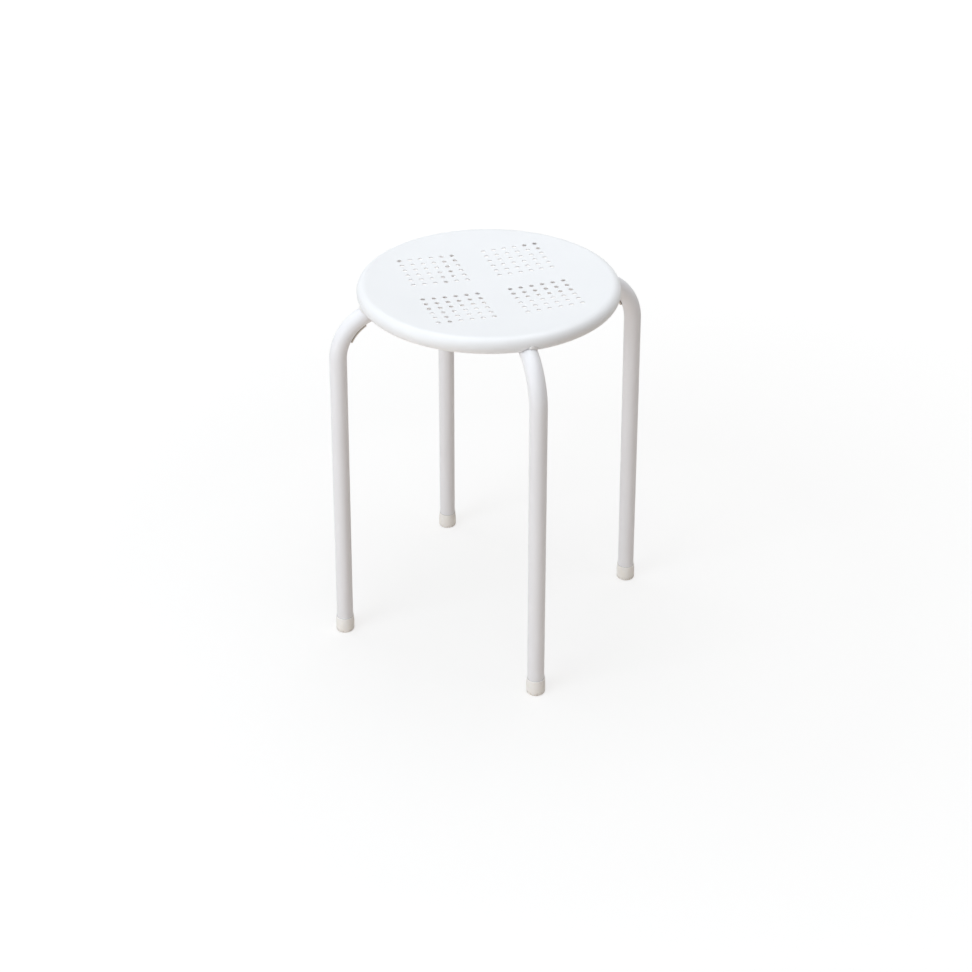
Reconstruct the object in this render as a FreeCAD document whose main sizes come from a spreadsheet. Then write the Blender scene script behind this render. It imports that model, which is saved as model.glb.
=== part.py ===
import FreeCAD, Part
import math
import os

import Sketcher

# Stacking stool of powder-coated steel.
# The origin lies on the floor under the middle of the seat, +Z up, millimetres.
# One tube frame runs along X and two half frames run along Y, in one plane under the seat.

os.makedirs("parts", exist_ok=True)

SIZES = {
    # seat pan
    "seat_diameter": 300.0,
    "seat_height": 450.0,
    "sheet_thickness": 1.0,
    "dish_depth": 5.5,
    "rim_depth": 19.2,
    "rim_curl_angle": 240.0,
    "hole_diameter": 5.4,
    "hole_pitch": 12.7,
    "holes_per_row": 6.0,
    "plain_strip_width": 38.5,
    # leg tubes
    "tube_diameter": 20.0,
    "tube_wall": 1.2,
    "bend_radius": 58.0,
    "foot_reach": 37.0,
    "leg_splay_angle": 1.35,
    # clearances
    "pan_clearance": 0.3,
    "notch_clearance": 1.3,
    "cope_clearance": 0.3,
    "foot_bore_clearance": 0.1,
    "pad_clearance": 0.05,
    # foot caps
    "foot_wall": 1.2,
    "foot_height": 20.4,
    "foot_floor": 4.5,
    "foot_taper_height": 5.5,
    "foot_lip_wall": 0.5,
    "foot_edge_radius": 1.5,
    # stacking pads
    "pad_thickness": 2.4,
    "pad_width": 5.5,
    "pad_start_angle": 31.0,
    "pad_end_angle": 63.5,
    # weld beads
    "rim_bead_radius": 2.2,
    "rim_bead_angle": 58.0,
    "rim_bead_start_angle": 4.0,
    "hub_bead_size": 3.0,
    "hub_bead_height": 15.0,
}

# Heights and radii that follow from the sizes, as expressions over the sheet.
PAN_MIDDLE = "(Sizes.seat_height - Sizes.dish_depth)"
TUBE_RADIUS = "(Sizes.tube_diameter / 2)"
RUN_HEIGHT = f"({PAN_MIDDLE} - Sizes.sheet_thickness - Sizes.pan_clearance - {TUBE_RADIUS})"
BEND_HEIGHT = f"({RUN_HEIGHT} - Sizes.bend_radius)"
LEG_TOP_HEIGHT = f"({BEND_HEIGHT} + Sizes.bend_radius * sin(Sizes.leg_splay_angle))"
FOOT_CIRCLE_RADIUS = "(Sizes.seat_diameter / 2 + Sizes.foot_reach)"
LEG_TOP_RADIUS = f"({FOOT_CIRCLE_RADIUS} - {LEG_TOP_HEIGHT} * tan(Sizes.leg_splay_angle))"
BEND_CENTRE_RADIUS = f"({LEG_TOP_RADIUS} - Sizes.bend_radius * cos(Sizes.leg_splay_angle))"
TUBE_END_RADIUS = f"({FOOT_CIRCLE_RADIUS} - Sizes.foot_floor * tan(Sizes.leg_splay_angle))"
ROLL_RADIUS = "(Sizes.rim_depth / 2)"
ROLL_CENTRE_RADIUS = f"(Sizes.seat_diameter / 2 - {ROLL_RADIUS})"
ROLL_CENTRE_HEIGHT = f"(Sizes.seat_height - {ROLL_RADIUS})"
FIRST_HOLE = "(Sizes.plain_strip_width / 2)"
FOOT_BORE = f"({TUBE_RADIUS} + Sizes.foot_bore_clearance)"
FOOT_RADIUS = f"({FOOT_BORE} + Sizes.foot_wall)"
HUB_REACH = "(2 * Sizes.tube_diameter)"
LEGS = {"right": 0, "back": 90, "left": 180, "front": 270}
FULL_TURN = 360
QUARTER_TURN = 90
FLOOR_TOLERANCE = 0.01

doc = FreeCAD.newDocument("StackingStool")
sheet = doc.addObject("Spreadsheet::Sheet", "Sizes")
for row, (alias, number) in enumerate(SIZES.items(), start=1):
    sheet.set(f"A{row}", alias.replace("_", " "))
    sheet.set(f"B{row}", str(number))
    sheet.setAlias(f"B{row}", alias)
doc.recompute()

sub_parts = []


def value(expression):
    """The number that an expression over the sheet has now."""
    return float(sheet.evalExpression(expression))


def origin_feature(body, role):
    """One of a body's own origin planes or axes."""
    for feature in body.Origin.OriginFeatures:
        if feature.Role == role:
            return feature
    raise ValueError(role)


def new_sketch(body, name, plane):
    """A sketch on one of the body's origin planes."""
    sketch = body.newObject("Sketcher::SketchObject", name)
    sketch.AttachmentSupport = [(origin_feature(body, plane), "")]
    sketch.MapMode = "FlatFace"
    return sketch


def point(horizontal, vertical):
    """A point of a sketch plane."""
    return FreeCAD.Vector(horizontal, vertical, 0)


def arc(centre, radius, start_degrees, end_degrees):
    """An arc that runs anticlockwise from one angle to the other."""
    circle = Part.Circle(centre, FreeCAD.Vector(0, 0, 1), radius)
    return Part.ArcOfCircle(circle, math.radians(start_degrees), math.radians(end_degrees))


def tie(sketch, name, expression, kind, *where):
    """A sketch constraint bound to an expression over the sheet."""
    number = value(expression)
    if kind == "Angle":
        number = math.radians(number)
    index = sketch.addConstraint(Sketcher.Constraint(kind, *where, number))
    sketch.renameConstraint(index, name)
    sketch.setExpression("Constraints." + name, expression)


def joined(sketch, first, first_end, second, second_end):
    """Two sketch ends on one point."""
    sketch.addConstraint(Sketcher.Constraint("Coincident", first, first_end, second, second_end))


def must_cut(feature, before):
    """Stops if a cutting feature took nothing off the shape before it."""
    if feature.Shape.Volume > before.Shape.Volume - 1:
        raise RuntimeError(f"{feature.Label} cuts nothing")


def keep(obj, label):
    """Names a finished sub-part, which is written out under that name."""
    obj.Label = label
    sub_parts.append(obj)


def turned(angle):
    """A quarter-turn placement about the upright axis of the stool."""
    return FreeCAD.Placement(FreeCAD.Vector(), FreeCAD.Rotation(FreeCAD.Vector(0, 0, 1), angle))


def ring_sketch(body, name, hollow):
    """The tube's section at the middle of the stool, with its bore if hollow."""
    sketch = new_sketch(body, name, "YZ_Plane")
    centre = point(0, value(RUN_HEIGHT))
    radii = {"outer": TUBE_RADIUS}
    if hollow:
        radii["bore"] = f"{TUBE_RADIUS} - Sizes.tube_wall"
    for index, (part_name, expression) in enumerate(radii.items()):
        sketch.addGeometry(Part.Circle(centre, FreeCAD.Vector(0, 0, 1), value(expression)))
        sketch.addConstraint(Sketcher.Constraint("PointOnObject", index, 3, -2))
        tie(sketch, part_name + "_radius", expression, "Radius", index)
        tie(sketch, part_name + "_height", RUN_HEIGHT, "DistanceY", -1, 1, index, 3)
    return sketch


def leg_path(body, name):
    """Top run from the middle, bend, and splayed leg down to the tube's end."""
    sketch = new_sketch(body, name, "XZ_Plane")
    splay = value("Sizes.leg_splay_angle")
    bend_centre = point(value(BEND_CENTRE_RADIUS), value(BEND_HEIGHT))
    run_end = point(value(BEND_CENTRE_RADIUS), value(RUN_HEIGHT))
    leg_top = point(value(LEG_TOP_RADIUS), value(LEG_TOP_HEIGHT))
    tube_end = point(value(TUBE_END_RADIUS), value("Sizes.foot_floor"))
    sketch.addGeometry(Part.LineSegment(point(0, value(RUN_HEIGHT)), run_end))
    sketch.addGeometry(arc(bend_centre, value("Sizes.bend_radius"), splay, 90))
    sketch.addGeometry(Part.LineSegment(leg_top, tube_end))
    sketch.addConstraint(Sketcher.Constraint("PointOnObject", 0, 1, -2))
    sketch.addConstraint(Sketcher.Constraint("Horizontal", 0))
    sketch.addConstraint(Sketcher.Constraint("Tangent", 0, 2, 1, 2))
    sketch.addConstraint(Sketcher.Constraint("Tangent", 1, 1, 2, 1))
    tie(sketch, "run_height", RUN_HEIGHT, "DistanceY", -1, 1, 0, 1)
    tie(sketch, "bend_radius", "Sizes.bend_radius", "Radius", 1)
    tie(sketch, "end_radius", TUBE_END_RADIUS, "DistanceX", -1, 1, 2, 2)
    tie(sketch, "end_height", "Sizes.foot_floor", "DistanceY", -1, 1, 2, 2)
    tie(sketch, "bend_centre_radius", BEND_CENTRE_RADIUS, "DistanceX", -1, 1, 1, 3)
    return sketch


def half_tube(body):
    """The hollow tube from the middle of the stool to the foot of one leg."""
    section = ring_sketch(body, "TubeSection", True)
    path = leg_path(body, "TubePath")
    doc.recompute()
    pipe = body.newObject("PartDesign::AdditivePipe", "Tube")
    pipe.Profile = section
    pipe.Spine = (path, ["Edge1", "Edge2", "Edge3"])
    body.Tip = pipe
    doc.recompute()
    return pipe


def make_whole_frame():
    """The continuous frame: left leg, top run and right leg in one bent tube."""
    body = doc.addObject("PartDesign::Body", "LeftRightFrame")
    pipe = half_tube(body)
    mirror = body.newObject("PartDesign::Mirrored", "OtherHalf")
    mirror.Originals = [pipe]
    mirror.MirrorPlane = (origin_feature(body, "YZ_Plane"), [""])
    body.Tip = mirror
    keep(body, "left_right_frame")


def make_half_frame(name, angle):
    """A half frame whose end is coped to fit round the continuous tube."""
    body = doc.addObject("PartDesign::Body", name)
    half_tube(body)
    cope = new_sketch(body, "CopeSection", "XZ_Plane")
    expression = f"{TUBE_RADIUS} + Sizes.cope_clearance"
    centre = point(0, value(RUN_HEIGHT))
    cope.addGeometry(Part.Circle(centre, FreeCAD.Vector(0, 0, 1), value(expression)))
    cope.addConstraint(Sketcher.Constraint("PointOnObject", 0, 3, -2))
    tie(cope, "cope_radius", expression, "Radius", 0)
    tie(cope, "cope_height", RUN_HEIGHT, "DistanceY", -1, 1, 0, 3)
    doc.recompute()
    pocket = body.newObject("PartDesign::Pocket", "Cope")
    pocket.Profile = cope
    pocket.SideType = "Symmetric"
    pocket.setExpression("Length", HUB_REACH)
    body.Tip = pocket
    body.Placement = turned(angle)
    keep(body, name)


def pan_profile(body):
    """Half section of the pan: dished sheet that runs over the crown and curls under."""
    sketch = new_sketch(body, "PanSection", "XZ_Plane")
    thickness = value("Sizes.sheet_thickness")
    roll = value(ROLL_RADIUS)
    roll_centre = point(value(ROLL_CENTRE_RADIUS), value(ROLL_CENTRE_HEIGHT))
    middle = value(PAN_MIDDLE)
    rise = middle - roll_centre.y
    dish = (roll_centre.x ** 2 + rise ** 2 - roll ** 2) / (2 * (roll - rise))
    dish_centre = point(0, middle + dish)
    across = roll_centre - dish_centre
    dish_end = math.degrees(math.atan2(across.y, across.x))
    roll_start = dish_end + 180
    curl_end = 90 - value("Sizes.rim_curl_angle")
    sketch.addGeometry(arc(dish_centre, dish, -90, dish_end))
    sketch.addGeometry(arc(roll_centre, roll, curl_end, roll_start))
    ray = point(math.cos(math.radians(curl_end)), math.sin(math.radians(curl_end)))
    sketch.addGeometry(Part.LineSegment(roll_centre + ray * roll, roll_centre + ray * (roll - thickness)))
    sketch.addGeometry(arc(roll_centre, roll - thickness, curl_end, roll_start))
    sketch.addGeometry(arc(dish_centre, dish + thickness, -90, dish_end))
    sketch.addGeometry(Part.LineSegment(point(0, middle - thickness), point(0, middle)))
    sketch.addConstraint(Sketcher.Constraint("Tangent", 0, 2, 1, 2))
    sketch.addConstraint(Sketcher.Constraint("Tangent", 4, 2, 3, 2))
    joined(sketch, 1, 1, 2, 1)
    joined(sketch, 3, 1, 2, 2)
    joined(sketch, 5, 1, 4, 1)
    joined(sketch, 5, 2, 0, 1)
    joined(sketch, 1, 3, 3, 3)
    joined(sketch, 0, 3, 4, 3)
    sketch.addConstraint(Sketcher.Constraint("PointOnObject", 0, 3, -2))
    sketch.addConstraint(Sketcher.Constraint("PointOnObject", 5, 1, -2))
    sketch.addConstraint(Sketcher.Constraint("PointOnObject", 5, 2, -2))
    sketch.addConstraint(Sketcher.Constraint("PointOnObject", 1, 3, 2))
    tie(sketch, "roll_radius", ROLL_RADIUS, "Radius", 1)
    tie(sketch, "roll_inside", f"{ROLL_RADIUS} - Sizes.sheet_thickness", "Radius", 3)
    tie(sketch, "roll_centre_radius", ROLL_CENTRE_RADIUS, "DistanceX", -1, 1, 1, 3)
    tie(sketch, "roll_centre_height", ROLL_CENTRE_HEIGHT, "DistanceY", -1, 1, 1, 3)
    tie(sketch, "middle_height", PAN_MIDDLE, "DistanceY", -1, 1, 5, 2)
    tie(sketch, "curl_angle", "270 - Sizes.rim_curl_angle", "Angle", 2)
    return sketch


def make_seat_pan():
    """The pressed seat: dish, rolled rim, four fields of holes and four rim notches."""
    body = doc.addObject("PartDesign::Body", "SeatPan")
    profile = pan_profile(body)
    doc.recompute()
    shell = body.newObject("PartDesign::Revolution", "Shell")
    shell.Profile = profile
    shell.ReferenceAxis = (profile, ["V_Axis"])
    shell.Angle = FULL_TURN
    body.Tip = shell
    doc.recompute()

    # A notch is the bent tube's own torus, a clearance larger, cut through the curl.
    notch_section = new_sketch(body, "NotchSection", "YZ_Plane")
    notch_section.setExpression("AttachmentOffset.Base.z", BEND_CENTRE_RADIUS)
    notch_radius = f"{TUBE_RADIUS} + Sizes.notch_clearance"
    run_height = value(RUN_HEIGHT)
    bend_height = value(BEND_HEIGHT)
    centre = point(0, run_height)
    notch_section.addGeometry(Part.Circle(centre, FreeCAD.Vector(0, 0, 1), value(notch_radius)))
    hinge_half = value(TUBE_RADIUS)
    hinge = Part.LineSegment(point(-hinge_half, bend_height), point(hinge_half, bend_height))
    hinge_line = notch_section.addGeometry(hinge, True)
    notch_section.addConstraint(Sketcher.Constraint("PointOnObject", 0, 3, -2))
    tie(notch_section, "notch_radius", notch_radius, "Radius", 0)
    tie(notch_section, "notch_height", RUN_HEIGHT, "DistanceY", -1, 1, 0, 3)
    notch_section.addConstraint(Sketcher.Constraint("Horizontal", hinge_line))
    tie(notch_section, "hinge_height", BEND_HEIGHT, "DistanceY", -1, 1, hinge_line, 1)
    doc.recompute()
    notch = body.newObject("PartDesign::Groove", "Notch")
    notch.Profile = notch_section
    notch.ReferenceAxis = (notch_section, ["Axis0"])
    notch.Angle = QUARTER_TURN
    body.Tip = notch
    doc.recompute()
    must_cut(notch, shell)
    notches = body.newObject("PartDesign::PolarPattern", "Notches")
    notches.Originals = [notch]
    notches.Axis = (origin_feature(body, "Z_Axis"), [""])
    notches.Angle = FULL_TURN
    notches.Occurrences = len(LEGS)
    body.Tip = notches
    doc.recompute()

    hole_sketch = new_sketch(body, "FirstHole", "XY_Plane")
    first = value(FIRST_HOLE)
    hole_radius = "Sizes.hole_diameter / 2"
    hole_sketch.addGeometry(Part.Circle(point(first, first), FreeCAD.Vector(0, 0, 1), value(hole_radius)))
    tie(hole_sketch, "hole_radius", hole_radius, "Radius", 0)
    tie(hole_sketch, "hole_x", FIRST_HOLE, "DistanceX", -1, 1, 0, 3)
    tie(hole_sketch, "hole_y", FIRST_HOLE, "DistanceY", -1, 1, 0, 3)
    doc.recompute()
    hole = body.newObject("PartDesign::Pocket", "Hole")
    hole.Profile = hole_sketch
    hole.Type = "ThroughAll"
    hole.Reversed = True
    body.Tip = hole
    doc.recompute()
    must_cut(hole, notches)
    field = body.newObject("PartDesign::MultiTransform", "HoleFields")
    field.Originals = [hole]
    steps = []
    for axis in ("X_Axis", "Y_Axis"):
        line = body.newObject("PartDesign::LinearPattern", "Along" + axis[0])
        line.Direction = (origin_feature(body, axis), [""])
        line.setExpression("Length", "(Sizes.holes_per_row - 1) * Sizes.hole_pitch")
        line.setExpression("Occurrences", "Sizes.holes_per_row")
        steps.append(line)
    quarters = body.newObject("PartDesign::PolarPattern", "Quarters")
    quarters.Axis = (origin_feature(body, "Z_Axis"), [""])
    quarters.Angle = FULL_TURN
    quarters.Occurrences = len(LEGS)
    steps.append(quarters)
    field.Transformations = steps
    body.Tip = field
    keep(body, "seat_pan")


def make_foot(name, angle):
    """A moulded cap on one leg's end, square to the leg and cut flat at the floor."""
    body = doc.addObject("PartDesign::Body", name + "_moulding")
    sketch = new_sketch(body, "CapSection", "XZ_Plane")
    # The first corners lie below the floor, so that the tilted cap still reaches it all round.
    spare = f"2 * {FOOT_RADIUS} * tan(Sizes.leg_splay_angle)"
    lip = f"({FOOT_BORE} + Sizes.foot_lip_wall)"
    shoulder = "(Sizes.foot_height - Sizes.foot_taper_height)"
    corners = [
        ("0", f"-{spare}"),
        (FOOT_RADIUS, f"-{spare}"),
        (FOOT_RADIUS, shoulder),
        (lip, "Sizes.foot_height"),
        (FOOT_BORE, "Sizes.foot_height"),
        (FOOT_BORE, "Sizes.foot_floor"),
        ("0", "Sizes.foot_floor"),
    ]
    places = [point(value(across), value(up)) for across, up in corners]
    count = len(places)
    for index in range(count):
        sketch.addGeometry(Part.LineSegment(places[index], places[(index + 1) % count]))
    for index in range(count):
        joined(sketch, index, 2, (index + 1) % count, 1)
    for index, (across, up) in enumerate(corners):
        if across == "0":
            sketch.addConstraint(Sketcher.Constraint("PointOnObject", index, 1, -2))
        else:
            tie(sketch, f"across_{index}", across, "DistanceX", -1, 1, index, 1)
        if up.startswith("-"):
            tie(sketch, f"down_{index}", up[1:], "DistanceY", index, 1, -1, 1)
        else:
            tie(sketch, f"up_{index}", up, "DistanceY", -1, 1, index, 1)
    doc.recompute()
    cap = body.newObject("PartDesign::Revolution", "Cap")
    cap.Profile = sketch
    cap.ReferenceAxis = (sketch, ["V_Axis"])
    cap.Angle = FULL_TURN
    body.Tip = cap
    splay = FreeCAD.Rotation(FreeCAD.Vector(0, 1, 0), -value("Sizes.leg_splay_angle"))
    foot_centre = FreeCAD.Vector(value(FOOT_CIRCLE_RADIUS), 0, 0)
    body.Placement = turned(angle).multiply(FreeCAD.Placement(foot_centre, splay))

    # The floor trim takes off what the tilted cap has below the floor.
    trim = doc.addObject("Part::Cylinder", name + "_trim")
    trim.setExpression("Radius", f"2 * {FOOT_RADIUS}")
    trim.setExpression("Height", FOOT_RADIUS)
    below = foot_centre - FreeCAD.Vector(0, 0, value(FOOT_RADIUS))
    trim.Placement = turned(angle).multiply(FreeCAD.Placement(below, FreeCAD.Rotation()))
    flat = doc.addObject("Part::Cut", name + "_flat")
    flat.Base = body
    flat.Tool = trim
    doc.recompute()
    edged = doc.addObject("Part::Fillet", name)
    edged.Base = flat
    radius = value("Sizes.foot_edge_radius")
    edged.Edges = [(number, radius, radius) for number in floor_edges(flat.Shape)]
    keep(edged, name)


def floor_edges(shape):
    """Numbers of the edges that lie in the floor plane."""
    found = []
    for number, edge in enumerate(shape.Edges, start=1):
        if edge.BoundBox.ZMax < FLOOR_TOLERANCE:
            found.append(number)
    return found


def bend_placement(angle, degrees_up):
    """Placement at a bend's centre, its X axis turned up from outward, its Z axis across the frame."""
    centre = FreeCAD.Vector(value(BEND_CENTRE_RADIUS), 0, value(BEND_HEIGHT))
    across = FreeCAD.Rotation(FreeCAD.Vector(1, 0, 0), 90)
    up = FreeCAD.Rotation(FreeCAD.Vector(0, 0, 1), degrees_up)
    return turned(angle).multiply(FreeCAD.Placement(centre, across.multiply(up)))


def bend_torus(name, placement, section_radius, sweep):
    """A torus along the bend's centre line."""
    torus = doc.addObject("Part::Torus", name)
    torus.setExpression("Radius1", "Sizes.bend_radius")
    torus.setExpression("Radius2", section_radius)
    torus.setExpression("Angle3", sweep)
    torus.Placement = placement
    return torus


def make_pad(name, angle):
    """A buffer strip on the inner side of one bend, where the next stool's seat bears."""
    sweep = "Sizes.pad_end_angle - Sizes.pad_start_angle"
    start = 90 - value("Sizes.pad_end_angle")
    placement = bend_placement(angle, start)
    crust = bend_torus(name + "_crust", placement, f"{TUBE_RADIUS} + Sizes.pad_thickness", sweep)
    wedge = doc.addObject("Part::Cylinder", name + "_wedge")
    wedge.setExpression("Radius", "Sizes.bend_radius")
    wedge.setExpression("Height", "Sizes.pad_width")
    wedge.setExpression("Angle", sweep)
    sideways = FreeCAD.Placement(FreeCAD.Vector(0, 0, -value("Sizes.pad_width") / 2), FreeCAD.Rotation())
    wedge.Placement = placement.multiply(sideways)
    strip = doc.addObject("Part::Common", name + "_strip")
    strip.Base = crust
    strip.Tool = wedge
    hollow = bend_torus(name + "_hollow", placement, f"{TUBE_RADIUS} + Sizes.pad_clearance", str(FULL_TURN))
    pad = doc.addObject("Part::Cut", name)
    pad.Base = strip
    pad.Tool = hollow
    keep(pad, name)


def rim_contact():
    """Angle up the bend at which the tube's back meets the outer face of the rolled rim."""
    bend = FreeCAD.Vector(value(BEND_CENTRE_RADIUS), value(BEND_HEIGHT), 0)
    roll = FreeCAD.Vector(value(ROLL_CENTRE_RADIUS), value(ROLL_CENTRE_HEIGHT), 0)
    back = value(f"Sizes.bend_radius + {TUBE_RADIUS}")
    rim = value(ROLL_RADIUS)
    apart = (roll - bend).Length
    along = (back ** 2 - rim ** 2 + apart ** 2) / (2 * apart)
    toward = math.degrees(math.atan2(roll.y - bend.y, roll.x - bend.x))
    return toward - math.degrees(math.acos(along / back))


def make_rim_bead(index, angle):
    """A tack weld beside the tube's back, in the corner between the tube and the rim."""
    up = rim_contact()
    bend_centre = bend_placement(angle, up)
    to_section = FreeCAD.Placement(FreeCAD.Vector(value("Sizes.bend_radius"), 0, 0),
                                   FreeCAD.Rotation(FreeCAD.Vector(1, 0, 0), -90))
    start = FreeCAD.Rotation(FreeCAD.Vector(0, 0, 1), value("Sizes.rim_bead_start_angle"))
    bead = doc.addObject("Part::Torus", f"RimBead{index}")
    bead.setExpression("Radius1", TUBE_RADIUS)
    bead.setExpression("Radius2", "Sizes.rim_bead_radius")
    bead.setExpression("Angle3", "Sizes.rim_bead_angle")
    bead.Placement = bend_centre.multiply(to_section).multiply(FreeCAD.Placement(FreeCAD.Vector(), start))
    tube = bend_torus(f"RimBeadTube{index}", bend_placement(angle, 0), TUBE_RADIUS, str(FULL_TURN))
    rim = doc.addObject("Part::Torus", f"RimBeadRoll{index}")
    rim.setExpression("Radius1", ROLL_CENTRE_RADIUS)
    rim.setExpression("Radius2", ROLL_RADIUS)
    rim.setExpression("Placement.Base.z", ROLL_CENTRE_HEIGHT)
    clear_of_tube = doc.addObject("Part::Cut", f"RimBeadOffTube{index}")
    clear_of_tube.Base = bead
    clear_of_tube.Tool = tube
    clear_of_rim = doc.addObject("Part::Cut", f"RimBeadOffRim{index}")
    clear_of_rim.Base = clear_of_tube
    clear_of_rim.Tool = rim
    return clear_of_rim


def make_rim_welds():
    """Four tack welds, one beside each leg, that hold the seat on the frames."""
    beads = [make_rim_bead(index, leg_angle) for index, leg_angle in enumerate(LEGS.values())]
    group = doc.addObject("Part::Compound", "RimWelds")
    group.Links = beads
    keep(group, "rim_welds")


def level_cylinder(name, angle, radius):
    """A cylinder along one frame's top run, through the middle of the stool."""
    rod = doc.addObject("Part::Cylinder", name)
    rod.setExpression("Radius", radius)
    rod.setExpression("Height", f"2 * {HUB_REACH}")
    lying = FreeCAD.Rotation(FreeCAD.Vector(0, 1, 0), 90)
    start = FreeCAD.Vector(-value(HUB_REACH), 0, value(RUN_HEIGHT))
    rod.Placement = turned(angle).multiply(FreeCAD.Placement(start, lying))
    return rod


def make_hub_welds():
    """Four upright beads in the corners where the half frames meet the continuous tube."""
    bead_reach = f"{TUBE_RADIUS} + Sizes.hub_bead_size"
    both = doc.addObject("Part::Common", "HubReach")
    both.Base = level_cylinder("HubReachX", 0, bead_reach)
    both.Tool = level_cylinder("HubReachY", 90, bead_reach)
    band = doc.addObject("Part::Cylinder", "HubBand")
    band.setExpression("Radius", HUB_REACH)
    band.setExpression("Height", "Sizes.hub_bead_height")
    band.setExpression("Placement.Base.z", f"{RUN_HEIGHT} - Sizes.hub_bead_height / 2")
    banded = doc.addObject("Part::Common", "HubBanded")
    banded.Base = both
    banded.Tool = band
    off_x = doc.addObject("Part::Cut", "HubOffX")
    off_x.Base = banded
    off_x.Tool = level_cylinder("HubTubeX", 0, TUBE_RADIUS)
    off_y = doc.addObject("Part::Cut", "HubOffY")
    off_y.Base = off_x
    off_y.Tool = level_cylinder("HubTubeY", 90, TUBE_RADIUS)
    keep(off_y, "hub_welds")


make_seat_pan()
make_whole_frame()
make_half_frame("back_half_frame", LEGS["back"])
make_half_frame("front_half_frame", LEGS["front"])
for side, leg_angle in LEGS.items():
    make_foot(side + "_foot", leg_angle)
    make_pad(side + "_pad", leg_angle)
make_rim_welds()
make_hub_welds()
doc.recompute()

for obj in doc.Objects:
    if "Invalid" in obj.State or "Error" in obj.State:
        raise RuntimeError(f"{obj.Label}: {obj.State}")
for obj in sub_parts:
    if obj.Shape.isNull() or not obj.Shape.isValid() or not obj.Shape.Solids:
        raise RuntimeError(f"{obj.Label}: bad shape")
for obj in sub_parts:
    obj.Shape.exportStep(f"parts/{obj.Label}.step")
    print(f"{obj.Label}: {len(obj.Shape.Solids)} solids, {obj.Shape.Volume:.0f} mm3")
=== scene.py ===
"""Stacking stool of powder-coated steel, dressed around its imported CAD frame."""

import math
import random

import bpy
from mathutils import Matrix, Vector, noise


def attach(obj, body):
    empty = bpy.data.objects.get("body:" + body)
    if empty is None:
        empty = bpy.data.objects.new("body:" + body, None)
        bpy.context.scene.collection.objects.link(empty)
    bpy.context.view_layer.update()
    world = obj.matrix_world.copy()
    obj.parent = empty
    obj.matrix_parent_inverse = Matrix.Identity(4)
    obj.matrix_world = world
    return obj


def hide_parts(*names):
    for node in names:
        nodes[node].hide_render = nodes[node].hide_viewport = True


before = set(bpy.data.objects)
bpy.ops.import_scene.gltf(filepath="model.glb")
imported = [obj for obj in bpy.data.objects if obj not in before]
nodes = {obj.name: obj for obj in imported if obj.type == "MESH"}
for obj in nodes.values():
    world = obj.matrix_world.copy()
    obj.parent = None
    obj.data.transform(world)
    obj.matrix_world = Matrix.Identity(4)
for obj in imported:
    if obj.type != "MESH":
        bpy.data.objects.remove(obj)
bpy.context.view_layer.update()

# Sizes of the stool in metres, the same as in the CAD source.
SEAT_RADIUS = 0.150
SEAT_HEIGHT = 0.450
ROLL_RADIUS = 0.0096
TUBE_RADIUS = 0.010
RUN_HEIGHT = 0.4332
BEND_RADIUS = 0.058
FOOT_CIRCLE = 0.187
SPLAY = math.radians(1.35)
LEGS = {"right": 0, "back": 90, "left": 180, "front": 270}

BEND_HEIGHT = RUN_HEIGHT - BEND_RADIUS
LEG_TOP_HEIGHT = BEND_HEIGHT + BEND_RADIUS * math.sin(SPLAY)
LEG_TOP_RADIUS = FOOT_CIRCLE - LEG_TOP_HEIGHT * math.tan(SPLAY)
BEND_CENTRE = LEG_TOP_RADIUS - BEND_RADIUS * math.cos(SPLAY)
ROLL_CENTRE = SEAT_RADIUS - ROLL_RADIUS
ROLL_HEIGHT = SEAT_HEIGHT - ROLL_RADIUS

MM = 0.001

# Painted shade in crevices: its colour, and how near another surface has to be for it, in metres.
CREVICE_SHADE_TONE = (0.20, 0.165, 0.14)
COAT_CREVICE = 0.0025
PAD_CREVICE = 0.0012
# Heights between which the foot caps' painted highlight on the lip begins, in metres.
PAINTED_LIP_START = 0.0190
PAINTED_LIP_FULL = 0.0194
# Height up to which the feet darken in blotches towards the sole, in metres.
SOLE_DARKENING_TOP = 0.006


def shader_nodes(name):
    """A new material with a Principled shader, its nodes and its links."""
    material = bpy.data.materials.new(name)
    material.use_nodes = True
    tree = material.node_tree
    shader = tree.nodes["Principled BSDF"]
    return material, tree, shader


def add_node(tree, kind, **settings):
    """A shader node with its properties and plain input values set."""
    node = tree.nodes.new(kind)
    for key, setting in settings.items():
        if hasattr(node, key):
            setattr(node, key, setting)
        else:
            node.inputs[key.replace("_", " ")].default_value = setting
    return node


def noise_node(tree, coordinates, scale, detail, roughness=0.5):
    """Noise over the object's own coordinates."""
    node = add_node(tree, "ShaderNodeTexNoise", Scale=scale, Detail=detail, Roughness=roughness)
    tree.links.new(coordinates, node.inputs["Vector"])
    return node.outputs["Fac"]


def spread(tree, source, low, high, to_low, to_high):
    """Maps a range of a value to another range, clamped."""
    node = tree.nodes.new("ShaderNodeMapRange")
    node.inputs["From Min"].default_value = low
    node.inputs["From Max"].default_value = high
    node.inputs["To Min"].default_value = to_low
    node.inputs["To Max"].default_value = to_high
    tree.links.new(source, node.inputs["Value"])
    return node.outputs["Result"]


def mixed(tree, factor, first, second):
    """Mixes two colours, each a plain colour or another node's output."""
    node = tree.nodes.new("ShaderNodeMix")
    node.data_type = "RGBA"
    tree.links.new(factor, node.inputs["Factor"])
    for socket, colour in ((node.inputs["A"], first), (node.inputs["B"], second)):
        if isinstance(colour, tuple):
            socket.default_value = (*colour, 1.0)
        else:
            tree.links.new(colour, socket)
    return node.outputs["Result"]


def bumped(tree, height, distance, before=None):
    """A bump from a height output, over an earlier bump if there is one."""
    node = add_node(tree, "ShaderNodeBump", Strength=1.0, Distance=distance)
    tree.links.new(height, node.inputs["Height"])
    if before is not None:
        tree.links.new(before, node.inputs["Normal"])
    return node.outputs["Normal"]


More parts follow.
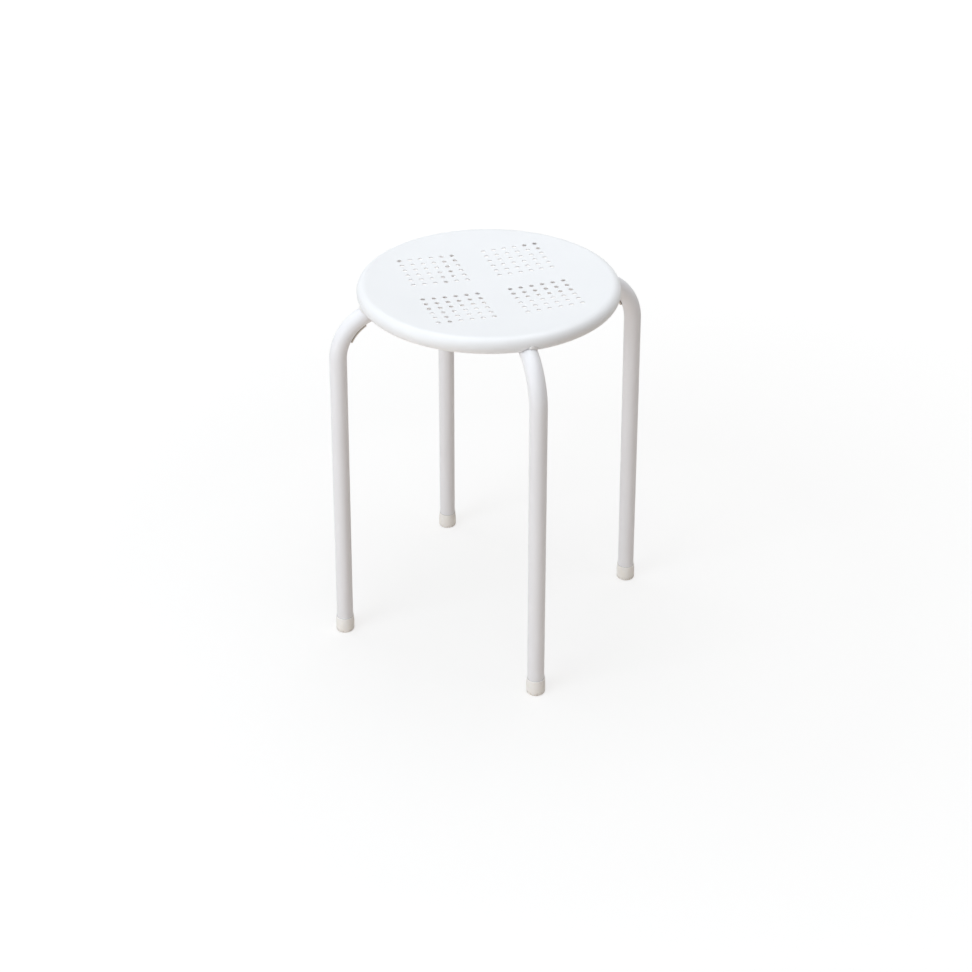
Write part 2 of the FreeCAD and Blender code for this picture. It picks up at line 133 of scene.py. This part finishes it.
def painted_crevice_shade(tree, tone, reach):
    """Painted shade: darkens a colour where another surface is close, as shade falls in crevices."""
    nearness = add_node(tree, "ShaderNodeAmbientOcclusion", Distance=reach)
    nearness.samples = 8
    shade_amount = spread(tree, nearness.outputs["AO"], 0.3, 0.72, 0.9, 0)
    return mixed(tree, shade_amount, tone, CREVICE_SHADE_TONE)


def powder_coat(name, colour, dusk, peel, gloss):
    """White powder coating: orange peel, fine grain and a faint unevenness of tone and gloss."""
    material, tree, shader = shader_nodes(name)
    place = tree.nodes.new("ShaderNodeTexCoord").outputs["Object"]
    drift = spread(tree, noise_node(tree, place, 14, 3), 0.3, 0.7, 0, 1)
    grain = noise_node(tree, place, 2600, 2)
    speck = spread(tree, grain, 0.56, 0.78, 0, 0.5)
    tone = mixed(tree, drift, colour, dusk)
    tone = mixed(tree, speck, tone, tuple(0.93 * c for c in dusk))
    # Painted shade darkens the coating in crevices and where parts meet.
    tree.links.new(painted_crevice_shade(tree, tone, COAT_CREVICE), shader.inputs["Base Color"])
    ripple = noise_node(tree, place, 620, 2, 0.45)
    tree.links.new(spread(tree, ripple, 0.3, 0.7, gloss - 0.05, gloss + 0.06), shader.inputs["Roughness"])
    normal = bumped(tree, ripple, peel)
    normal = bumped(tree, grain, 0.12 * peel, normal)
    tree.links.new(normal, shader.inputs["Normal"])
    shader.inputs["IOR"].default_value = 1.5
    shader.inputs["Coat Weight"].default_value = 0.06
    shader.inputs["Coat Roughness"].default_value = 0.22
    return material


def moulded_plastic(name, colour, dusk, sole_tone, lip_highlight, rough):
    """Polyethylene: cloudy tone, mould grain, darker blotches towards the sole, and either painted shade in
    crevices (pads) or a painted highlight on the lip (feet).
    """
    material, tree, shader = shader_nodes(name)
    place = tree.nodes.new("ShaderNodeTexCoord").outputs["Object"]
    cloud = spread(tree, noise_node(tree, place, 190, 4, 0.6), 0.35, 0.66, 0, 1)
    tone = mixed(tree, cloud, colour, dusk)
    parts = tree.nodes.new("ShaderNodeSeparateXYZ")
    tree.links.new(place, parts.inputs["Vector"])
    # The feet darken in blotches towards the sole.
    low = spread(tree, parts.outputs["Z"], 0.0005, SOLE_DARKENING_TOP, 1, 0)
    blotch = spread(tree, noise_node(tree, place, 420, 5, 0.7), 0.42, 0.64, 0, 1)
    both = add_node(tree, "ShaderNodeMath", operation="MULTIPLY")
    tree.links.new(low, both.inputs[0])
    tree.links.new(blotch, both.inputs[1])
    if lip_highlight is None:
        # Painted shade in the pad's crevices and along its seam.
        tone = painted_crevice_shade(tree, tone, PAD_CREVICE)
    else:
        # Painted highlight: the lip's top edge is paler, as where light shines through thin plastic.
        lip_highlight_mask = spread(tree, parts.outputs["Z"], PAINTED_LIP_START, PAINTED_LIP_FULL, 0, 1)
        tone = mixed(tree, lip_highlight_mask, tone, lip_highlight)
    tree.links.new(mixed(tree, both.outputs["Value"], tone, sole_tone), shader.inputs["Base Color"])
    grain = noise_node(tree, place, 1900, 3)
    tree.links.new(spread(tree, cloud, 0, 1, rough - 0.06, rough + 0.08), shader.inputs["Roughness"])
    tree.links.new(bumped(tree, grain, 0.00004), shader.inputs["Normal"])
    shader.inputs["IOR"].default_value = 1.5
    shader.inputs["Subsurface Weight"].default_value = 0.06
    shader.inputs["Subsurface Radius"].default_value = (0.004, 0.003, 0.002)
    shader.inputs["Subsurface Scale"].default_value = 0.5
    return material


seat_coat = powder_coat("seat_coating", (0.88, 0.90, 0.93), (0.86, 0.88, 0.91), 0.00005, 0.46)
frame_coat = powder_coat("frame_coating", (0.87, 0.885, 0.925), (0.85, 0.862, 0.90), 0.00005, 0.44)
weld_coat = powder_coat("weld_coating", (0.85, 0.85, 0.86), (0.80, 0.80, 0.80), 0.00012, 0.50)
# Foot caps: the third colour darkens them in blotches towards the sole; the fourth is the painted highlight
# on the lip.
foot_plastic = moulded_plastic(
    "foot_plastic", (0.94, 0.935, 0.925), (0.91, 0.90, 0.875), (0.46, 0.41, 0.34), (0.97, 0.965, 0.95), 0.50)
pad_plastic = moulded_plastic(
    "pad_plastic", (0.80, 0.77, 0.72), (0.77, 0.73, 0.67), (0.77, 0.73, 0.67), None, 0.55)


def paint(obj, material):
    """Gives an object one material in every slot."""
    if not obj.data.materials:
        obj.data.materials.append(material)
    for index in range(len(obj.data.materials)):
        obj.data.materials[index] = material


def leg_matrix(angle):
    """Turns a piece made for the +X leg to another leg."""
    return Matrix.Rotation(math.radians(angle), 4, "Z")


def new_piece(name, skins, material, replaced):
    """One mesh of one or more skins, each laid over its rings of points and capped at both ends."""
    points = []
    faces = []
    for rings in skins:
        width = len(rings[0])
        base = len(points)
        points += [tuple(point) for ring in rings for point in ring]
        for i in range(len(rings) - 1):
            here = base + i * width
            for j in range(width):
                k = (j + 1) % width
                faces.append((here + j, here + k, here + width + k, here + width + j))
        last = base + (len(rings) - 1) * width
        faces.append(tuple(base + j for j in reversed(range(width))))
        faces.append(tuple(last + j for j in range(width)))
    mesh = bpy.data.meshes.new(name)
    mesh.from_pydata(points, [], faces)
    mesh.validate()
    mesh.shade_smooth()
    obj = bpy.data.objects.new(name, mesh)
    bpy.context.scene.collection.objects.link(obj)
    paint(obj, material)
    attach(obj, "root")
    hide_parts(*replaced)
    return obj


# Outline of the foot cap, in millimetres: distance from the leg's axis, height along it.
FOOT_OUTLINE = [
    # sole and its rounded edge
    (0.6, 0.0), (5.0, 0.0), (9.4, 0.0), (9.9, 0.03), (10.35, 0.18), (10.75, 0.45), (11.05, 0.85),
    (11.2, 1.3), (11.25, 1.9),
    # side and taper
    (11.29, 3.5), (11.32, 6.0), (11.33, 9.0), (11.31, 12.0), (11.28, 13.9), (11.24, 14.5),
    (11.16, 14.95), (11.05, 15.5), (10.99, 16.1), (10.96, 16.4),
    # shallow groove
    (10.90, 16.52), (10.82, 16.62), (10.82, 16.82), (10.88, 16.94), (10.90, 17.1),
    # neck and rounded lip
    (10.84, 17.8), (10.76, 18.5), (10.70, 18.85), (10.70, 19.05), (10.76, 19.2), (10.90, 19.32),
    (10.98, 19.5), (11.00, 19.75), (10.95, 20.0), (10.82, 20.22), (10.64, 20.36), (10.42, 20.4),
    # bore and floor
    (10.24, 20.34), (10.14, 20.18), (10.1, 19.9), (10.1, 15.0), (10.1, 4.9), (9.8, 4.55),
    (9.0, 4.5), (0.6, 4.5),
]
FOOT_SIDES = 96
# Height below which the cap's rings turn level towards the sole, in millimetres.
FLATTENED_HEIGHT = 6.0


def make_foot(side, angle):
    """A foot cap turned on the leg's axis, with its sole flat on the floor."""
    lean = Matrix.Rotation(-SPLAY, 4, "Y")
    stand = leg_matrix(angle) @ Matrix.Translation((FOOT_CIRCLE, 0, 0)) @ lean
    rings = []
    for radius, height in FOOT_OUTLINE:
        ring = []
        near = max(0.0, 1 - height / FLATTENED_HEIGHT)
        for j in range(FOOT_SIDES):
            turn = 2 * math.pi * j / FOOT_SIDES
            across = radius * math.cos(turn)
            up = height - near * math.tan(SPLAY) * across
            ring.append(stand @ Vector((across * MM, radius * math.sin(turn) * MM, up * MM)))
        rings.append(ring)
    return new_piece(side + "_foot_cap", [rings], foot_plastic, [side + "_foot"])


PAD_START = math.radians(26.5)
PAD_END = math.radians(59)
PAD_STEPS = 44
# Sizes of the pads in millimetres: each layer's half width and its lowest and highest place on the tube.
PAD_THICKNESS = 2.4
PAD_HALF = 2.75
PAD_EDGE = 0.45
PAD_UNDERSIDE = 0.75
BOND_HALF = 1.7
BOND_EDGE = 0.1
BOND_GAP = 0.05
BOND_TOP = 0.9
BOND_INSET = 1.2
END_CUTS = (0.0, 0.04, 0.12, 0.25, 0.45)


def strip_section(half, low, high, edge):
    """Section of a strip on the tube as pairs: across the tube, and out from its axis, in millimetres."""
    points = []
    for i in range(13):
        across = (half - edge) * (1 - i / 6)
        points.append((across, math.sqrt(high ** 2 - across ** 2)))
    corner = math.sqrt(high ** 2 - (half - edge) ** 2) - edge
    for i in range(1, 6):
        turn = math.radians(90 + 18 * i)
        points.append((edge - half + edge * math.cos(turn), corner + edge * math.sin(turn)))
    for i in range(13):
        across = half * (i / 6 - 1)
        points.append((across, math.sqrt(low ** 2 - across ** 2)))
    for i in range(5):
        turn = math.radians(18 * i)
        points.append((half - edge + edge * math.cos(turn), corner + edge * math.sin(turn)))
    return points


def strip_rings(stand, inset, half, low, high, edge):
    """Rings of a strip along the inner side of one bend, its ends and edges slightly rounded."""
    per_mm = 1 / (BEND_RADIUS / MM - low)
    start = PAD_START + inset * per_mm
    end = PAD_END - inset * per_mm
    full = END_CUTS[-1]
    cuts = [(cut, full - math.sqrt(full ** 2 - (full - cut) ** 2)) for cut in END_CUTS]
    places = [(start + cut * per_mm, shrink) for cut, shrink in cuts]
    places += [(start + (end - start) * i / PAD_STEPS, 0.0) for i in range(1, PAD_STEPS)]
    places += [(end - cut * per_mm, shrink) for cut, shrink in reversed(cuts)]
    rings = []
    for turn, shrink in places:
        outward = Vector((math.cos(turn), 0, math.sin(turn)))
        axis = Vector((BEND_CENTRE, 0, BEND_HEIGHT)) + BEND_RADIUS * outward
        section = strip_section(half - shrink, low, high - shrink, edge)
        rings.append([stand @ (axis - away * MM * outward + Vector((0, across * MM, 0)))
                      for across, away in section])
    return rings


def make_pad(side, angle):
    """A stacking pad: a moulded strip on a narrower layer that holds it to the tube."""
    stand = leg_matrix(angle)
    skin = TUBE_RADIUS / MM
    bond = strip_rings(stand, BOND_INSET, BOND_HALF, skin + BOND_GAP, skin + BOND_TOP, BOND_EDGE)
    top = strip_rings(stand, 0.0, PAD_HALF, skin + PAD_UNDERSIDE, skin + PAD_THICKNESS, PAD_EDGE)
    return new_piece(side + "_stacking_pad", [bond, top], pad_plastic, [side + "_pad"])


def off_tube(place):
    """Distance from a point to the skin of the +X leg's bend."""
    from_centre = Vector((place.x - BEND_CENTRE, place.z - BEND_HEIGHT)).length
    return math.hypot(from_centre - BEND_RADIUS, place.y) - TUBE_RADIUS


def off_rim(place):
    """Distance from a point to the outside of the rolled rim."""
    from_axis = math.hypot(place.x, place.y)
    return math.hypot(from_axis - ROLL_CENTRE, place.z - ROLL_HEIGHT) - ROLL_RADIUS


def outward(distance, place):
    """Direction in which a distance grows fastest."""
    step = 1e-5
    axes = (Vector((step, 0, 0)), Vector((0, step, 0)), Vector((0, 0, step)))
    return Vector([(distance(place + axis) - distance(place - axis)) / (2 * step) for axis in axes])


def crevice(start):
    """The point beside start, with the same y, that lies on both the tube's skin and the rim's."""
    place = start.copy()
    for _ in range(CREVICE_ROUNDS):
        tube_slope = outward(off_tube, place)
        rim_slope = outward(off_rim, place)
        slope = Matrix(((tube_slope.x, tube_slope.z), (rim_slope.x, rim_slope.z)))
        move = slope.inverted_safe() @ Vector((off_tube(place), off_rim(place)))
        place -= Vector((move.x, 0, move.y))
    return place


CREVICE_ROUNDS = 30
BEAD_SIDES = 32
BEAD_STEPS = 44
BEAD_TAPER = 0.3
# Sizes of the rim welds in millimetres: run across the tube, centre up the rim, half width, height.
BEAD_FROM = -1.8
BEAD_RUN = 10.8
BEAD_UP = 0.6
BEAD_HALF = 3.0
BEAD_PROUD = 1.35
SPATTER_DROPS = 7
DROP_SIDES = 12
# Sizes of the corner welds in millimetres: half run, half width, height.
CORNER_RUN = 7.2
CORNER_HALF = 2.6
CORNER_PROUD = 1.5


def bead_shape(i, seed):
    """How full a weld bead is at one step of its run: rounded ends and the ripples of the weld pool."""
    from_end = min(i, BEAD_STEPS - i) / (BEAD_TAPER * BEAD_STEPS)
    taper = max(0.04, math.sqrt(1 - (1 - min(1.0, from_end)) ** 2))
    return taper * (1 + 0.015 * math.sin(i / BEAD_STEPS * 2 * math.pi * 5 + seed))


def lumps(spot, seed):
    """Unevenness of a hand-laid bead at a place in space."""
    place = spot / MM + Vector((seed, 3.1, 7.7))
    broad = 0.30 * noise.noise(place * 0.30)
    middle = 0.16 * noise.noise(place * 0.8)
    fine = 0.07 * noise.noise(place * 2.1)
    return 1 + broad + middle + fine


def on_rim(place, up, out):
    """A point up the rolled rim from a place on it, and out from its skin, in metres."""
    level = Vector((place.x, place.y, 0)).normalized()
    turn = math.atan2(place.z - ROLL_HEIGHT, math.hypot(place.x, place.y) - ROLL_CENTRE) + up / ROLL_RADIUS
    direction = math.cos(turn) * level + math.sin(turn) * Vector((0, 0, 1))
    return ROLL_CENTRE * level + Vector((0, 0, ROLL_HEIGHT)) + (ROLL_RADIUS + out) * direction


def spatter_rings(place, radius, stand):
    """A droplet of weld metal on the rim."""
    rings = []
    for degrees in (-20, 0, 20, 40, 60, 80):
        turn = math.radians(degrees)
        wide = radius * math.cos(turn)
        ring = []
        for j in range(DROP_SIDES):
            round_turn = 2 * math.pi * j / DROP_SIDES
            level = Vector((-place.y, place.x, 0)).normalized() * wide * math.cos(round_turn)
            ring.append(stand @ (on_rim(place, wide * math.sin(round_turn), radius * math.sin(turn)) + level))
        rings.append(ring)
    return rings


def make_rim_welds():
    """A broad, low tack weld in the corner between each leg's back and the rim, with some spatter."""
    skins = []
    chance = random.Random(11)
    for index, angle in enumerate(LEGS.values()):
        stand = leg_matrix(angle)
        seed = 5.3 * index + 1
        place = Vector((BEND_CENTRE + 0.0290, 0, BEND_HEIGHT + 0.0615))
        rings = []
        for i in range(BEAD_STEPS + 1):
            place.y = (BEAD_FROM + BEAD_RUN * i / BEAD_STEPS) * MM
            place = crevice(place)
            full = bead_shape(i, seed)
            ring = []
            for j in range(BEAD_SIDES):
                turn = 2 * math.pi * j / BEAD_SIDES
                swell = full * lumps(place + Vector((0, 0, 3 * MM * math.cos(turn))), seed)
                up = (BEAD_UP + BEAD_HALF * math.cos(turn) * swell) * MM
                ring.append(stand @ on_rim(place, up, BEAD_PROUD * MM * math.sin(turn) * swell))
            rings.append(ring)
        skins.append(rings)
        for _ in range(SPATTER_DROPS):
            place.y = chance.uniform(-5, 10) * MM
            place = crevice(place)
            drop = on_rim(place, chance.uniform(4.2, 8.5) * MM, 0)
            skins.append(spatter_rings(drop, chance.uniform(0.16, 0.42) * MM, stand))
    return new_piece("rim_weld_beads", skins, weld_coat, ["rim_welds"])


def make_hub_welds():
    """Weld beads in the four corners where the crossed tubes meet."""
    skins = []
    for index, angle in enumerate(LEGS.values()):
        stand = leg_matrix(angle)
        seed = 3.7 * index + 2
        rings = []
        for i in range(BEAD_STEPS + 1):
            up = (-CORNER_RUN + 2 * CORNER_RUN * i / BEAD_STEPS) * MM
            reach = math.sqrt(TUBE_RADIUS ** 2 - up ** 2)
            place = Vector((reach, reach, RUN_HEIGHT + up))
            one_skin = Vector((0, reach, up)).normalized()
            other_skin = Vector((reach, 0, up)).normalized()
            out = (one_skin + other_skin).normalized()
            across = (one_skin - other_skin).normalized()
            full = bead_shape(i, seed)
            ring = []
            for j in range(BEAD_SIDES):
                turn = 2 * math.pi * j / BEAD_SIDES
                away = CORNER_HALF * math.cos(turn) * across + CORNER_PROUD * math.sin(turn) * out
                away = away * MM * full
                ring.append(stand @ (place + away * lumps(place + away, seed)))
            rings.append(ring)
        skins.append(rings)
    return new_piece("hub_weld_beads", skins, weld_coat, ["hub_welds"])


paint(nodes["seat_pan"], seat_coat)
for name in ("left_right_frame", "front_half_frame", "back_half_frame"):
    paint(nodes[name], frame_coat)
for side, angle in LEGS.items():
    make_foot(side, angle)
    make_pad(side, angle)
make_rim_welds()
make_hub_welds()

# Floor: white for the camera, with the object's soft shadow.
FLOOR_HALF = 9.0
floor_mesh = bpy.data.meshes.new("studio_floor")
floor_mesh.from_pydata([(-FLOOR_HALF, -FLOOR_HALF, 0), (FLOOR_HALF, -FLOOR_HALF, 0),
                        (FLOOR_HALF, FLOOR_HALF, 0), (-FLOOR_HALF, FLOOR_HALF, 0)], [], [(0, 1, 2, 3)])
floor = bpy.data.objects.new("studio_floor", floor_mesh)
bpy.context.scene.collection.objects.link(floor)


def seen_directly(tree):
    """1 for rays from the camera and for those by way of gloss or glass, else 0."""
    rays = tree.nodes.new("ShaderNodeLightPath")
    total = None
    for ray in ("Is Camera Ray", "Is Glossy Ray", "Is Transmission Ray"):
        if total is None:
            total = rays.outputs[ray]
            continue
        either = add_node(tree, "ShaderNodeMath", operation="MAXIMUM")
        tree.links.new(total, either.inputs[0])
        tree.links.new(rays.outputs[ray], either.inputs[1])
        total = either.outputs["Value"]
    return total


# The floor lights the object as a warm pale floor does. It is seen as white with a soft shadow.
FLOOR_BOUNCE = (0.80, 0.695, 0.605)
FLOOR_SEEN = (0.40, 0.40, 0.40)
GLOW_NEAR = 0.63
GLOW_FAR = 1.0
GLOW_NEAR_REACH = 0.5
GLOW_FAR_REACH = 3.2
floor_paint = bpy.data.materials.new("studio_floor")
floor_paint.use_nodes = True
tree = floor_paint.node_tree
tree.nodes.clear()
direct = seen_directly(tree)
diffuse = tree.nodes.new("ShaderNodeBsdfDiffuse")
tree.links.new(mixed(tree, direct, FLOOR_BOUNCE, FLOOR_SEEN), diffuse.inputs["Color"])
place = tree.nodes.new("ShaderNodeTexCoord").outputs["Object"]
reach = add_node(tree, "ShaderNodeVectorMath", operation="LENGTH")
tree.links.new(place, reach.inputs[0])
level = add_node(tree, "ShaderNodeMath", operation="MULTIPLY")
brightness = spread(tree, reach.outputs["Value"], GLOW_NEAR_REACH, GLOW_FAR_REACH, GLOW_NEAR, GLOW_FAR)
tree.links.new(brightness, level.inputs[0])
tree.links.new(direct, level.inputs[1])
glow = add_node(tree, "ShaderNodeEmission", Color=(1, 1, 1, 1))
tree.links.new(level.outputs["Value"], glow.inputs["Strength"])
both = tree.nodes.new("ShaderNodeAddShader")
tree.links.new(diffuse.outputs["BSDF"], both.inputs[0])
tree.links.new(glow.outputs["Emission"], both.inputs[1])
output = tree.nodes.new("ShaderNodeOutputMaterial")
tree.links.new(both.outputs["Shader"], output.inputs["Surface"])
paint(floor, floor_paint)

# World: white where it is seen, a plain soft grey where it lights.
WORLD_LIGHT = 0.17
world = bpy.data.worlds.new("studio")
bpy.context.scene.world = world
world.use_nodes = True
tree = world.node_tree
tree.nodes.clear()
lit = add_node(tree, "ShaderNodeBackground", Color=(1.0, 0.97, 0.95, 1), Strength=WORLD_LIGHT)
seen = add_node(tree, "ShaderNodeBackground", Color=(1, 1, 1, 1), Strength=1.0)
choice = tree.nodes.new("ShaderNodeMixShader")
tree.links.new(seen_directly(tree), choice.inputs["Fac"])
tree.links.new(lit.outputs["Background"], choice.inputs[1])
tree.links.new(seen.outputs["Background"], choice.inputs[2])
output = tree.nodes.new("ShaderNodeOutputWorld")
tree.links.new(choice.outputs["Shader"], output.inputs["Surface"])


def soft_light(name, place, target, size, power, colour):
    """A square area light turned to a target."""
    light = bpy.data.lights.new(name, "AREA")
    light.shape = "SQUARE"
    light.size = size
    light.energy = power
    light.color = colour
    obj = bpy.data.objects.new(name, light)
    bpy.context.scene.collection.objects.link(obj)
    obj.location = place
    obj.rotation_mode = "QUATERNION"
    obj.rotation_quaternion = (Vector(target) - Vector(place)).to_track_quat("-Z", "Y")
    return obj


MIDDLE = (0, 0, 0.25)
soft_light("key_light", (-2.3, -1.3, 2.0), MIDDLE, 2.2, 14.5, (0.80, 0.91, 1.0))
soft_light("side_light", (-2.8, -1.0, 0.9), MIDDLE, 1.7, 28, (0.95, 0.98, 1.0))
soft_light("top_light", (0.0, 0.2, 3.0), MIDDLE, 3.5, 73, (0.99, 1.0, 1.0))
soft_light("front_light", (-0.9, -3.0, 1.5), MIDDLE, 2.0, 9, (1.0, 0.94, 0.88))

# Camera fitted to the photograph: holes, seat outline, legs and feet.
LENS = 61.64
camera_data = bpy.data.cameras.new("camera")
camera_data.sensor_width = 36
camera_data.lens = LENS
camera = bpy.data.objects.new("camera", camera_data)
bpy.context.scene.collection.objects.link(camera)
camera.location = (-0.51403, -1.63694, 1.26056)
camera.rotation_euler = (math.radians(57.653), 0, math.radians(-17.329))
bpy.context.scene.camera = camera

bpy.context.scene.view_settings.view_transform = "Standard"
